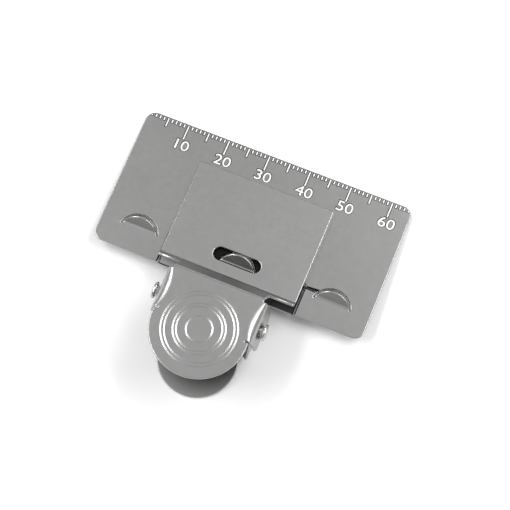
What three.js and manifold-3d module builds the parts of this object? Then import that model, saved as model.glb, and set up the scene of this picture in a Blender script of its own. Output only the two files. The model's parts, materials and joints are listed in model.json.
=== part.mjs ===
// A spring clip whose rear jaw is a ruler: two bent sheet-metal stampings turn on a riveted
// pin, and a torsion spring on the pin pushes the two levers apart, so the jaws stay closed.
//
// All sizes are in millimetres. The pieces are drawn in the clip's own frame: X along the ruler,
// Y from the levers towards the ruler's edge, Z out of the ruler's front face, which is Z = 0.
// The finished clip is then laid on its back, on the rear pad and the ruler's far edge.
import * as THREE from 'three';
import { mergeVertices } from 'three/addons/utils/BufferGeometryUtils.js';
import Module from 'manifold-3d';

const wasm = await Module();
wasm.setup();

const RAD = Math.PI / 180;

// Sheet metal
const SHEET = 0.6;
const BEND_RADIUS = 0.9;
const BEND_STEPS = 5;
const OVERLAP = 0.05; // how far solids that are joined run into each other
const MARGIN = 1; // how far a cutting outline runs past what it cuts

// Ruler plate
const PLATE_WIDTH = 65;
const PLATE_HEIGHT = 33.2;
const PLATE_CORNER = 2.4;

// Paper stops: half-moon tabs cut from the plate and bent up about their chords
const STOP_CHORD = 8.4;
const STOP_HEIGHT = 3.2;
const STOP_CHORD_Y = 5.65;
const STOP_ANGLE = 50 * RAD;
const STOP_LEFT_X = -23.25;
const STOP_MIDDLE_X = 0.6;
const STOP_RIGHT_X = 23.4;
const STOP_CUT_GAP = 0.15;
const STOP_BEND_RADIUS = 0.6;
const STOP_STEPS = 16;

// Tongue: the middle of the plate, cut free at its sides and bent back into the rear lever
const TONGUE_HALF_WIDTH = 16.2;
const TONGUE_GAP = 0.35;
const TONGUE_ROOT_Y = 7.2;
const TONGUE_FOOT_Y = 0;
const SLIT_WIDTH = 0.3;
const REAR_BEND_Y = 2.2;
const REAR_TILT = 10 * RAD;
const REAR_PAD_Y = -15.85;
const REAR_PAD_RADIUS = 9.25;
const REAR_EAR_FACE = 10.55;
const REAR_EAR_START = 3.0;
const REAR_EAR_LENGTH = 12.2;
const REAR_EAR_CROWN = 2.2;
const REAR_EAR_BRIM = 0.15; // height of the ears' side outline above the lever's face

// Front stamping: jaw, riser and lever
const JAW_HALF_WIDTH = 16.3;
const JAW_TIP_Y = 25.8;
const JAW_CORNER = 0.5;
const JAW_TIP_GAP = 0.15;
const JAW_FOOT_GAP = 0.55;
const RISER_FOOT_Y = 2.2;
const RISER_HEAD_Y = -1.7;
const LEVER_Z = 9.8;
const SHOULDER_Z = 3.2;
const FRONT_PAD_Y = -13.1;
const FRONT_PAD_RADIUS = 11.05;
const EAR_FLARE = 9 * RAD;
const EAR_BEND_RADIUS = 1.6;
const EAR_FACE_AT_PIN = 12.2;
const EAR_START_Y = -1.7;
const EAR_END_Y = -11.8;
const EAR_EDGE_Z = 3.0;
const EAR_CORNER = 3.0;
const NECK_HALF_WIDTH = 10.6;
const SLOT_LEFT_X = -5.2;
const SLOT_RIGHT_X = 6.0;
const SLOT_LOW_Y = 5.3;
const SLOT_HIGH_Y = 8.45;
const SLOT_END_RADIUS = 1.565;

// Pivot pin
const PIN_Y = -7.6;
const PIN_Z = 5.4;
const PIN_RADIUS = 1.15;
const HOLE_RADIUS = 1.25;
const HEAD_RADIUS = 1.9;
const HEAD_HEIGHT = 0.75;
const HEAD_CHAMFER = 0.25;
const HEAD_TOP_RADIUS = 1.37;
const HEAD_SEAT_X = 12.65;
const ROUND_STEPS = 36;
const SIDE_PLAY = 0.25;

// Torsion spring
const WIRE_RADIUS = 0.4;
const COIL_RADIUS = 1.75;
const COIL_PITCH = 1.0;
const COIL_TURNS = 8;
const COIL_POINTS = 16;
const LEG_GAP = 0.2;
const FRONT_LEG_Y = -17.0;
const REAR_LEG_Y = -15.5;
const WIRE_STEPS = 170;
const WIRE_SIDES = 8;

const PIN_CENTRE = new THREE.Vector2(PIN_Y, PIN_Z);

// ---- solids ---------------------------------------------------------------------------------

function toSolid(geometry) {
  const bare = new THREE.BufferGeometry();
  bare.setAttribute('position', geometry.getAttribute('position'));
  if (geometry.index) bare.setIndex(geometry.index);
  const merged = mergeVertices(bare, 1e-4);
  const vertProperties = new Float32Array(merged.getAttribute('position').array);
  const triVerts = new Uint32Array(merged.index.array);
  return new wasm.Manifold(new wasm.Mesh({ numProp: 3, vertProperties, triVerts }));
}

function toGeometry(solid) {
  const mesh = solid.getMesh();
  const geometry = new THREE.BufferGeometry();
  geometry.setAttribute('position', new THREE.BufferAttribute(new Float32Array(mesh.vertProperties), 3));
  geometry.setIndex(new THREE.BufferAttribute(new Uint32Array(mesh.triVerts), 1));
  geometry.computeVertexNormals();
  return geometry;
}

function extrude(shape, depth) {
  return new THREE.ExtrudeGeometry(shape, { depth, bevelEnabled: false, curveSegments: ROUND_STEPS / 4 });
}

// A shape drawn in (X, Y), from z0 up to z1.
function upright(shape, z0, z1) {
  return toSolid(extrude(shape, z1 - z0).translate(0, 0, z0));
}

// A shape drawn in (Y, Z), from x0 to x1.
function sideways(shape, x0, x1) {
  const turn = new THREE.Matrix4().makeBasis(
    new THREE.Vector3(0, 1, 0), new THREE.Vector3(0, 0, 1), new THREE.Vector3(1, 0, 0));
  return toSolid(extrude(shape, x1 - x0).applyMatrix4(turn).translate(x0, 0, 0));
}

// A shape drawn in (X, Z), from y0 down to y1.
function lengthways(shape, y0, y1) {
  const turn = new THREE.Matrix4().makeBasis(
    new THREE.Vector3(1, 0, 0), new THREE.Vector3(0, 0, 1), new THREE.Vector3(0, -1, 0));
  return toSolid(extrude(shape, y0 - y1).applyMatrix4(turn).translate(0, y0, 0));
}

function block(x0, x1, y0, y1, z0, z1) {
  const box = new THREE.BoxGeometry(x1 - x0, y1 - y0, z1 - z0);
  return toSolid(box.translate((x0 + x1) / 2, (y0 + y1) / 2, (z0 + z1) / 2));
}

function discShape(x, y, radius) {
  return new THREE.Shape().absarc(x, y, radius, 0, 2 * Math.PI);
}

function roundedRectangle(x0, x1, y0, y1, radius) {
  const shape = new THREE.Shape();
  shape.absarc(x1 - radius, y0 + radius, radius, -Math.PI / 2, 0);
  shape.absarc(x1 - radius, y1 - radius, radius, 0, Math.PI / 2);
  shape.absarc(x0 + radius, y1 - radius, radius, Math.PI / 2, Math.PI);
  shape.absarc(x0 + radius, y0 + radius, radius, Math.PI, 1.5 * Math.PI);
  return shape;
}

// ---- bent sheet -----------------------------------------------------------------------------

// Section of a sheet that follows the corners given, with each inner corner rounded.
function sheetSection(corners, radius) {
  const left = [];
  const right = [];
  const place = (point, direction) => {
    const normal = new THREE.Vector2(-direction.y, direction.x).multiplyScalar(SHEET / 2);
    left.push(point.clone().add(normal));
    right.push(point.clone().sub(normal));
  };
  const points = corners.map(([x, y]) => new THREE.Vector2(x, y));
  const heading = (i) => points[i + 1].clone().sub(points[i]).normalize();
  place(points[0], heading(0));
  for (let i = 1; i < points.length - 1; i += 1) {
    const before = heading(i - 1);
    const turn = Math.atan2(before.cross(heading(i)), before.dot(heading(i)));
    const setback = radius * Math.tan(Math.abs(turn) / 2);
    const start = points[i].clone().addScaledVector(before, -setback);
    const side = new THREE.Vector2(-before.y, before.x).multiplyScalar(radius * Math.sign(turn));
    const centre = start.clone().add(side);
    const origin = new THREE.Vector2();
    for (let step = 0; step <= BEND_STEPS; step += 1) {
      const angle = turn * step / BEND_STEPS;
      place(start.clone().rotateAround(centre, angle), before.clone().rotateAround(origin, angle));
    }
  }
  const last = points.length - 1;
  place(points[last], heading(last - 1));
  return new THREE.Shape([...left, ...right.reverse()]);
}

// ---- ruler plate with the rear lever --------------------------------------------------------

// Half-moon outline of a paper stop, standing on its chord, with the chord's centre at the origin.
function stopOutline(grow) {
  const half = STOP_CHORD / 2;
  const radius = (half ** 2 + STOP_HEIGHT ** 2) / (2 * STOP_HEIGHT);
  const centreY = STOP_HEIGHT - radius;
  const start = Math.asin(-centreY / radius);
  const points = [];
  for (let step = 0; step <= STOP_STEPS; step += 1) {
    const angle = start + (Math.PI - 2 * start) * step / STOP_STEPS;
    const reach = radius + grow;
    points.push(new THREE.Vector2(reach * Math.cos(angle), Math.max(centreY + reach * Math.sin(angle), 0)));
  }
  return new THREE.Shape(points);
}

function stopHole(x) {
  return upright(stopOutline(STOP_CUT_GAP), -2 * SHEET, SHEET).translate([x, STOP_CHORD_Y, 0]);
}

function stopTab(x) {
  const half = STOP_CHORD / 2;
  const reach = STOP_HEIGHT + MARGIN;
  const middle = -SHEET / 2;
  const bent = sheetSection([
    [-SHEET, middle],
    [0, middle],
    [reach * Math.cos(STOP_ANGLE), reach * Math.sin(STOP_ANGLE) + middle],
  ], STOP_BEND_RADIUS);
  const root = roundedRectangle(-half, half, -3 * SHEET, SHEET / 2, SHEET / 4);
  const outline = upright(stopOutline(0), -reach, reach).add(upright(root, -reach, reach));
  return sideways(bent, -half, half)
    .intersect(outline.rotate([STOP_ANGLE / RAD, 0, 0]))
    .translate([x, STOP_CHORD_Y, 0]);
}

// Side view of the rear lever in its own flat frame: the sheet, with the ears standing on it.
function rearSideOutline(pin, padEnd) {
  const shape = new THREE.Shape();
  const under = -2 * SHEET;
  const earEnd = -REAR_EAR_START - REAR_EAR_LENGTH;
  shape.moveTo(0, under);
  shape.lineTo(0, REAR_EAR_BRIM);
  shape.lineTo(-REAR_EAR_START, REAR_EAR_BRIM);
  shape.lineTo(pin.x + REAR_EAR_CROWN, pin.y);
  shape.absarc(pin.x, pin.y, REAR_EAR_CROWN, 0, Math.PI);
  shape.lineTo(earEnd, REAR_EAR_BRIM);
  shape.lineTo(padEnd, REAR_EAR_BRIM);
  shape.lineTo(padEnd, under);
  return shape;
}

// Plan view of the rear lever in its own flat frame, from the bend to the round pad.
function rearPlanOutline(padY, earEnd) {
  const shape = new THREE.Shape();
  shape.moveTo(REAR_EAR_FACE, -OVERLAP);
  shape.lineTo(-REAR_EAR_FACE, -OVERLAP);
  shape.lineTo(-REAR_EAR_FACE, earEnd);
  shape.lineTo(-REAR_PAD_RADIUS, padY);
  shape.absarc(0, padY, REAR_PAD_RADIUS, Math.PI, 2 * Math.PI);
  shape.lineTo(REAR_EAR_FACE, earEnd);
  return shape;
}

function rearLever() {
  const pin = PIN_CENTRE.clone().sub(new THREE.Vector2(REAR_BEND_Y, 0));
  pin.rotateAround(new THREE.Vector2(), -REAR_TILT);
  const padY = (REAR_PAD_Y - REAR_BEND_Y) / Math.cos(REAR_TILT);
  const padEnd = padY - REAR_PAD_RADIUS - MARGIN;
  const footY = (TONGUE_FOOT_Y - REAR_BEND_Y) / Math.cos(REAR_TILT);
  const earEnd = -REAR_EAR_START - REAR_EAR_LENGTH;
  const middle = -SHEET / 2;
  const wall = REAR_EAR_FACE - SHEET / 2;
  const crown = pin.y + REAR_EAR_CROWN + MARGIN;
  const channel = sheetSection(
    [[-wall, crown], [-wall, middle], [wall, middle], [wall, crown]], BEND_RADIUS);
  const lever = lengthways(channel, 0, padEnd)
    .intersect(sideways(rearSideOutline(pin, padEnd), -PLATE_WIDTH, PLATE_WIDTH))
    .intersect(upright(rearPlanOutline(padY, earEnd), -2 * SHEET, crown));
  const shoulders = block(-TONGUE_HALF_WIDTH, TONGUE_HALF_WIDTH, footY, -OVERLAP, -SHEET, 0);
  const bore = sideways(discShape(pin.x, pin.y, HOLE_RADIUS), -PLATE_WIDTH, PLATE_WIDTH);
  return lever.add(shoulders).subtract(bore)
    .rotate([REAR_TILT / RAD, 0, 0])
    .translate([0, REAR_BEND_Y, 0]);
}

function rulerPlate() {
  const half = PLATE_WIDTH / 2;
  const outline = roundedRectangle(-half, half, 0, PLATE_HEIGHT, PLATE_CORNER);
  const gapEdge = TONGUE_HALF_WIDTH + TONGUE_GAP;
  const tongueEnd = REAR_BEND_Y - 2 * OVERLAP;
  let plate = upright(outline, -SHEET, 0);
  plate = plate.subtract(block(-gapEdge, gapEdge, -MARGIN, TONGUE_ROOT_Y, -2 * SHEET, SHEET));
  plate = plate.add(block(
    -TONGUE_HALF_WIDTH, TONGUE_HALF_WIDTH, tongueEnd, TONGUE_ROOT_Y + MARGIN, -SHEET, 0));
  const slitEnd = STOP_RIGHT_X - STOP_CHORD / 2 + SHEET;
  plate = plate.subtract(block(
    TONGUE_HALF_WIDTH + TONGUE_GAP / 2, slitEnd,
    TONGUE_ROOT_Y - SLIT_WIDTH, TONGUE_ROOT_Y, -2 * SHEET, SHEET));
  const stops = [STOP_LEFT_X, STOP_MIDDLE_X, STOP_RIGHT_X];
  stops.forEach((x) => { plate = plate.subtract(stopHole(x)); });
  stops.forEach((x) => { plate = plate.add(stopTab(x)); });
  return plate.add(rearLever());
}

// ---- front jaw with the front lever ---------------------------------------------------------

// Plan view of the front lever: the neck over the riser, then the round pad.
function frontPlan() {
  const shape = new THREE.Shape();
  shape.moveTo(-NECK_HALF_WIDTH, RISER_FOOT_Y);
  shape.lineTo(-NECK_HALF_WIDTH, EAR_START_Y);
  shape.lineTo(-FRONT_PAD_RADIUS + EAR_BEND_RADIUS, EAR_START_Y);
  shape.lineTo(-FRONT_PAD_RADIUS + EAR_BEND_RADIUS, EAR_END_Y);
  shape.lineTo(-FRONT_PAD_RADIUS, EAR_END_Y);
  shape.lineTo(-FRONT_PAD_RADIUS, FRONT_PAD_Y);
  shape.absarc(0, FRONT_PAD_Y, FRONT_PAD_RADIUS, Math.PI, 2 * Math.PI);
  shape.lineTo(FRONT_PAD_RADIUS, EAR_END_Y);
  shape.lineTo(FRONT_PAD_RADIUS - EAR_BEND_RADIUS, EAR_END_Y);
  shape.lineTo(FRONT_PAD_RADIUS - EAR_BEND_RADIUS, EAR_START_Y);
  shape.lineTo(NECK_HALF_WIDTH, EAR_START_Y);
  shape.lineTo(NECK_HALF_WIDTH, RISER_FOOT_Y);
  return shape;
}

// Side view of a front ear, rounded at its corner nearest the jaw.
function frontEarOutline() {
  const shape = new THREE.Shape();
  const top = LEVER_Z + MARGIN;
  shape.moveTo(EAR_START_Y, top);
  shape.lineTo(EAR_START_Y, EAR_EDGE_Z + EAR_CORNER);
  shape.absarc(EAR_START_Y - EAR_CORNER, EAR_EDGE_Z + EAR_CORNER, EAR_CORNER, 0, -Math.PI / 2, true);
  shape.lineTo(EAR_END_Y, EAR_EDGE_Z);
  shape.lineTo(EAR_END_Y, top);
  return shape;
}

function frontJawLever() {
  const half = SHEET / 2;
  const leverMiddle = LEVER_Z - half;
  const tipEnd = FRONT_PAD_Y - FRONT_PAD_RADIUS - MARGIN;
  const profile = sheetSection([
    [JAW_TIP_Y, JAW_TIP_GAP + half],
    [RISER_FOOT_Y, JAW_FOOT_GAP + half],
    [RISER_HEAD_Y, leverMiddle],
    [tipEnd, leverMiddle],
  ], BEND_RADIUS);
  const top = LEVER_Z + MARGIN;
  const strip = sideways(profile, -JAW_HALF_WIDTH, JAW_HALF_WIDTH);
  const jawPlan = roundedRectangle(
    -JAW_HALF_WIDTH, JAW_HALF_WIDTH, RISER_HEAD_Y, JAW_TIP_Y, JAW_CORNER);
  const jaw = strip.intersect(upright(jawPlan, 0, SHOULDER_Z));
  const lever = strip.intersect(upright(frontPlan(), 0, top));

  const face = (z) => EAR_FACE_AT_PIN + (PIN_Z - z) * Math.tan(EAR_FLARE) - half / Math.cos(EAR_FLARE);
  const low = EAR_EDGE_Z - MARGIN;
  const channel = sheetSection([
    [-face(low), low],
    [-face(leverMiddle), leverMiddle],
    [face(leverMiddle), leverMiddle],
    [face(low), low],
  ], EAR_BEND_RADIUS);
  const ears = lengthways(channel, EAR_START_Y, EAR_END_Y)
    .intersect(sideways(frontEarOutline(), -PLATE_WIDTH, PLATE_WIDTH));

  const slotPlan = roundedRectangle(
    SLOT_LEFT_X, SLOT_RIGHT_X, SLOT_LOW_Y, SLOT_HIGH_Y, SLOT_END_RADIUS);
  const slot = upright(slotPlan, -MARGIN, top);
  const bore = sideways(discShape(PIN_Y, PIN_Z, HOLE_RADIUS), -PLATE_WIDTH, PLATE_WIDTH);
  return jaw.add(lever).add(ears).subtract(slot).subtract(bore).translate([-SIDE_PLAY, 0, 0]);
}

// ---- pivot pin ------------------------------------------------------------------------------

function pivotPin() {
  const end = HEAD_SEAT_X + HEAD_HEIGHT;
  const half = [
    [HEAD_SEAT_X, PIN_RADIUS],
    [HEAD_SEAT_X, HEAD_RADIUS],
    [end - HEAD_CHAMFER, HEAD_RADIUS],
    [end, HEAD_TOP_RADIUS],
    [end, 0],
  ];
  const profile = [
    ...half.slice().reverse().map(([x, r]) => new THREE.Vector2(r, -x)),
    ...half.map(([x, r]) => new THREE.Vector2(r, x)),
  ];
  const turned = new THREE.LatheGeometry(profile, ROUND_STEPS).rotateZ(-Math.PI / 2);
  return toSolid(turned).translate([-SIDE_PLAY, PIN_Y, PIN_Z]);
}

// ---- torsion spring -------------------------------------------------------------------------

// Centreline of the wire: the front leg, the coil on the pin, then the rear leg.
function wirePath() {
  const start = -COIL_TURNS * COIL_PITCH / 2;
  const frontReach = LEVER_Z - SHEET - LEG_GAP - WIRE_RADIUS;
  const frontSlope = Math.atan2(frontReach - PIN_Z - COIL_RADIUS, PIN_Y - FRONT_LEG_Y);
  const rearInner = (REAR_LEG_Y - REAR_BEND_Y) * Math.tan(REAR_TILT);
  const rearReach = rearInner + (LEG_GAP + WIRE_RADIUS) / Math.cos(REAR_TILT);
  const rearSlope = Math.atan2(PIN_Z - COIL_RADIUS - rearReach, PIN_Y - REAR_LEG_Y);
  const firstAngle = Math.PI / 2 - frontSlope;
  const lastAngle = -Math.PI / 2 + rearSlope - 2 * Math.PI * (COIL_TURNS - 0.5);
  const points = [new THREE.Vector3(start, FRONT_LEG_Y, frontReach)];
  const steps = Math.round(COIL_POINTS * (firstAngle - lastAngle) / (2 * Math.PI));
  for (let step = 0; step <= steps; step += 1) {
    const angle = firstAngle + (lastAngle - firstAngle) * step / steps;
    points.push(new THREE.Vector3(
      start + COIL_TURNS * COIL_PITCH * step / steps,
      PIN_Y + COIL_RADIUS * Math.cos(angle),
      PIN_Z + COIL_RADIUS * Math.sin(angle)));
  }
  points.push(new THREE.Vector3(-start, REAR_LEG_Y, rearReach));
  return points;
}

class WireCurve extends THREE.CurvePath {
  constructor(points) {
    super();
    const coil = points.slice(1, -1);
    this.add(new THREE.LineCurve3(points[0], coil[0]));
    this.add(new THREE.CatmullRomCurve3(coil));
    this.add(new THREE.LineCurve3(coil[coil.length - 1], points[points.length - 1]));
  }
}

function torsionSpring() {
  const corners = [];
  for (let side = 0; side < WIRE_SIDES; side += 1) {
    const angle = 2 * Math.PI * side / WIRE_SIDES;
    corners.push(new THREE.Vector2(WIRE_RADIUS * Math.cos(angle), WIRE_RADIUS * Math.sin(angle)));
  }
  const section = new THREE.Shape(corners);
  return toSolid(new THREE.ExtrudeGeometry(section, {
    steps: WIRE_STEPS,
    bevelEnabled: false,
    extrudePath: new WireCurve(wirePath()),
  }));
}

// ---- assembly -------------------------------------------------------------------------------

function piece(name, solid, color, roughness) {
  const material = new THREE.MeshStandardMaterial({ color, roughness, metalness: 1 });
  const mesh = new THREE.Mesh(toGeometry(solid), material);
  mesh.name = name;
  return mesh;
}

const clip = new THREE.Group();
clip.add(piece('ruler_plate', rulerPlate(), 0xa9a9a8, 0.42));
clip.add(piece('front_jaw_lever', frontJawLever(), 0xadadac, 0.4));
clip.add(piece('pivot_pin', pivotPin(), 0xb4b4b2, 0.3));
clip.add(piece('torsion_spring', torsionSpring(), 0x8f9090, 0.35));

// Lay the clip down: the back of the rear pad and the back of the ruler's far edge touch Z = 0.
const padTipY = REAR_PAD_Y - REAR_PAD_RADIUS * Math.cos(REAR_TILT) + SHEET * Math.sin(REAR_TILT);
const padTipZ = (padTipY - REAR_BEND_Y) * Math.tan(REAR_TILT) - SHEET / Math.cos(REAR_TILT);
const restTilt = Math.atan2(padTipZ + SHEET, PLATE_HEIGHT - padTipY);
clip.rotation.x = restTilt;
clip.updateMatrixWorld(true);
const extent = new THREE.Box3().setFromObject(clip, true);
clip.position.set(0, -(extent.min.y + extent.max.y) / 2, -extent.min.z);

const model = new THREE.Group();
model.add(clip);
model.updateMatrixWorld(true);

export default model;
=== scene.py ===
"""A ruler clip: two bent nickel-plated stampings, a riveted pin and a torsion spring."""

import json
import math

import bpy
import numpy as np
from mathutils import Matrix, Quaternion, Vector
from mathutils.geometry import delaunay_2d_cdt, interpolate_bezier


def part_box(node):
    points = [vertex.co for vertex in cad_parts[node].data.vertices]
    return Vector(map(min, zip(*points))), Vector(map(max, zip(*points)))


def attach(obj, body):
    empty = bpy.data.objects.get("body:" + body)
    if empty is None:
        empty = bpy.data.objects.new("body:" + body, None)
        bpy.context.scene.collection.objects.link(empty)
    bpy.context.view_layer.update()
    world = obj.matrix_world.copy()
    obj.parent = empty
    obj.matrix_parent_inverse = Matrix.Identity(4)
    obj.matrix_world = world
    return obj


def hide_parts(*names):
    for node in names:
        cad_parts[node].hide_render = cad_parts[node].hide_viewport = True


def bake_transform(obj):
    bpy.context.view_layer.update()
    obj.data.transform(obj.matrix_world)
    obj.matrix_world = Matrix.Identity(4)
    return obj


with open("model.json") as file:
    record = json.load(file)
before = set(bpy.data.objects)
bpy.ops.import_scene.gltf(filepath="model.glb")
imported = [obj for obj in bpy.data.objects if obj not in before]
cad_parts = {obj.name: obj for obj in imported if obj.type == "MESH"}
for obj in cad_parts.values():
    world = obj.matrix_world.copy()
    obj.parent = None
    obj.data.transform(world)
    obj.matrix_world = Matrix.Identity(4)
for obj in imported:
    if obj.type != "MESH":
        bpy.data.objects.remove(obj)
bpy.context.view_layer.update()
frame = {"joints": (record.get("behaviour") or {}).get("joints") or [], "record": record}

# ---- sizes, in millimetres, in the clip's own frame ---------------------------------------------
# X runs along the ruler, Y from the levers to the scale, Z out of the ruler's face, which is Z = 0.

MM = 0.001
SHEET = 0.6
HALF = SHEET / 2
OVERLAP = 1.0  # how far outlines that join reach into each other
MERGE_DISTANCE = 1e-6
# The finishes of a stamping, in the order of its materials: plating, the floors of sunk marks, a patch of
# painted shade, plating with painted shade where the front stamping shades it, and painted shadow at
# cuts.
PLAIN, MARKED, SHADE_PATCH, SHADED, DARK = range(5)
EDGE = 0.23  # rounding of a stamped edge
BEND_RADIUS = 0.9
REACH = 60.0  # longer than any blank
SMALLEST_OPENING = 0.5  # limits how far an outline's sharp corners move when it grows

PLATE_WIDTH = (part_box("ruler_plate")[1].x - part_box("ruler_plate")[0].x) / MM
PLATE_HEIGHT = 33.2
PLATE_CORNER = 2.4

STOP_CHORD = 8.4
STOP_HEIGHT = 3.2
STOP_CHORD_Y = 5.65
STOP_ANGLE = math.radians(50)
STOP_RADIUS = (STOP_CHORD**2 / 4 + STOP_HEIGHT**2) / (2 * STOP_HEIGHT)
STOP_DROP = STOP_RADIUS - STOP_HEIGHT  # how far the arc's centre is below the chord
STOP_BEND = 1.1
STOP_BEND_ROWS = 7
STOP_GAP = 0.22
STOP_X = (-23.25, 0.6, 23.4)

TONGUE_HALF = 16.2
TONGUE_GAP = 0.35
TONGUE_ROOT_Y = 7.2
GAP_CORNER = 0.3
SLIT_WIDTH = 0.3
CUT_INNER = 0.05  # the painted shadow of the tongue's gap reaches this far past the edge's rounding, on the tongue
CUT_OUTER = 0.01  # and this far on the plate
REAR_BEND_Y = 2.2
REAR_TILT = math.radians(10)
REAR_NECK_HALF = 9.9
REAR_PAD_Y = -15.85
REAR_PAD_RADIUS = 9.25
REAR_PAD_NECK = 0.9  # half the width where the pad's arc starts, as a share of its radius
REAR_EAR_FACE = 10.55
REAR_EAR_START = 3.0
REAR_EAR_LENGTH = 12.2
REAR_EAR_CROWN = 2.2
REAR_EAR_CROWN_CUT = 0.1  # radians that the crown's arc stops short of its flanks
REAR_EAR_TAIL = 0.6  # height of the ear's end over the sheet
REAR_EAR_REACH = 0.4  # the bend runs this far past the ear towards the ruler
REAR_EAR_ROW_REACH = 0.3
REAR_EAR_ROWS = 8
SHADE_ARC_EXTRA = 0.7  # radians past a half turn, round the shoulder's patch of painted shade

JAW_HALF = 16.3
JAW_TIP_Y = 25.8
JAW_CORNER = 0.5
JAW_TIP_GAP = 0.15
JAW_FOOT_GAP = 0.55
RISER_FOOT_Y = 2.2
RISER_HEAD_Y = -1.7
LEVER_Z = 9.8
SHOULDER_Z = 3.2
NECK_HALF = 10.6
FRONT_PAD_Y = -13.1
FRONT_PAD_RADIUS = 11.05
EAR_FLARE = math.radians(9)
EAR_FOLD = math.radians(81)
EAR_FACE_AT_PIN = 12.2
EAR_END_Y = -11.8
EAR_EDGE_Z = 3.0
EAR_CORNER = 3.0
EAR_HEEL = 0.9  # rounding of the ear's corner away from the jaw
EAR_BEND_END = 0.8  # the ear's bend is tight at its ends and wide at its middle
EAR_BEND_MIDDLE = 2.2
EAR_BEND_ROWS = 12
EAR_BEND_POINTS = 24
EAR_EDGE_STEPS = 30
EAR_ROOT = 1.5  # how far inside the neck's side the ear's outline starts
EAR_RELIEF = 0.25
RELIEF_INSET = 0.3
LEVER_INSET = 0.1
LEVER_OVERLAP = 0.5
SLOT_LEFT_X = -5.2
SLOT_RIGHT_X = 6.0
SLOT_LOW_Y = 5.3
SLOT_HIGH_Y = 8.45
SLOT_END_FLAT = 0.01  # keeps the slot's rounded ends from closing on themselves
SLOT_SHADE = 0.3  # the painted shadow under the slot reaches this far past it
SLOT_SHADE_CORNER = 1.8
SIDE_PLAY = 0.25

PIN_Y = -7.6
PIN_Z = 5.4
PIN_RADIUS = 1.15
HOLE_RADIUS = 1.25
HEAD_RADIUS = 1.9
HEAD_SEAT_X = 12.65
HEAD_END_X = 13.4
HEAD_UNDERSIDE = ((0.02, 0.1), (0.1, 0.0))  # (distance from the seat, how far in from the head's radius)
HEAD_PROFILE = (  # (share of the head's rise, how far in from its radius), over the rim and into the dish
    (0.5, 0.0),
    (0.75, 0.08),
    (0.93, 0.25),
    (1.0, 0.55),
    (0.96, 0.8),
    (0.8, 1.0),
    (0.72, 1.3),
)
HEAD_DISH = (0.7, 0.02)  # (share of the rise, radius) at the dish's middle
HEAD_LOBES = ((3, 0.018), (7, 0.012))  # (lobes round the head, share of its radius), as hammered
HEAD_LOBES_OUTSIDE = 0.2  # only what is this far outside the pin is uneven
PIN_SIDES = 48

BEAD_RADII = (2.9, 5.0, 5.75, 7.6, 8.4)
BEAD_HALF_WIDTH = 0.19
BEAD_HEIGHT = 0.05
BEAD_ROWS = 4  # rows of points from a ring's crest to its foot

TICK_WIDTH = 0.32
TICK_LENGTHS = {10: 3.9, 5: 2.4, 1: 1.1}
TICK_MARGIN = 0.22
ETCH_DEPTH = 0.09
NUMBER_EVERY = 10
NUMBER_TOP = 4.1  # from the scale's edge down to the numbers
NUMBER_SHIFT = 0.35  # the numbers stand a little past their ticks
NUMBER_HEIGHT = 2.4
NUMBER_STRETCH = 1.2
FRINGE = 0.18  # width of a mark's sloping side, which is painted dark as shadow
STROKE_GROWTH = 0.03  # thickens the numbers' strokes
CURVE_STEPS = 5  # points along each curve of a number's outline

WIRE_RADIUS = 0.4
COIL_RADIUS = 1.75
COIL_LENGTH = 8.0
COIL_TURNS = 8
COIL_STEPS = 36  # rings of points to a turn
LEG_STEPS = 8
WIRE_SIDES = 14
LEG_GAP = 0.2
FRONT_LEG_Y = -17.0
REAR_LEG_Y = -15.5

NICKEL = (0.42, 0.42, 0.416)
RISER_SHADE = (1.5, 0.0, 5.0)  # where the riser's painted shade is darkest
PAD_SHADE = (0.0, REAR_PAD_Y + 2.5, -3.2)  # where the rear pad's painted shade is darkest
TONE_SPREAD = (0.94, 1.05)  # darkest and lightest plating, as shares of its colour
TONE_SCALE = 90
GRAIN_RELIEF = 0.00002

# The clip lies on its back. Its tilt comes from the ruler's back face, its place from the joint.
back = next(m for m in frame["record"]["mounts"] if m["name"] == "ruler_back")["axis"]
REST_TILT = math.atan2(back[1], -back[2])
joint = frame["joints"][0]
LAY = Matrix.Rotation(REST_TILT, 4, "X") @ Matrix.Scale(MM, 4)
LAY = Matrix.Translation(Vector(joint["pos_m"]) - LAY @ Vector((0, PIN_Y, PIN_Z))) @ LAY


# ---- bending ------------------------------------------------------------------------------------


def fold(s, w, start, angle, radius):
    """Folds a strip past start, through angle, towards +w or -w, round a bend of that radius."""
    side = np.sign(angle)
    turn = np.clip((s - start) / radius, 0, abs(angle))
    past = np.maximum(s - start - radius * abs(angle), 0)
    arm = radius - side * w
    along = np.minimum(s, start) + arm * np.sin(turn) + past * np.cos(turn)
    across = side * (radius - arm * np.cos(turn) + past * np.sin(turn))
    return along, across


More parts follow.
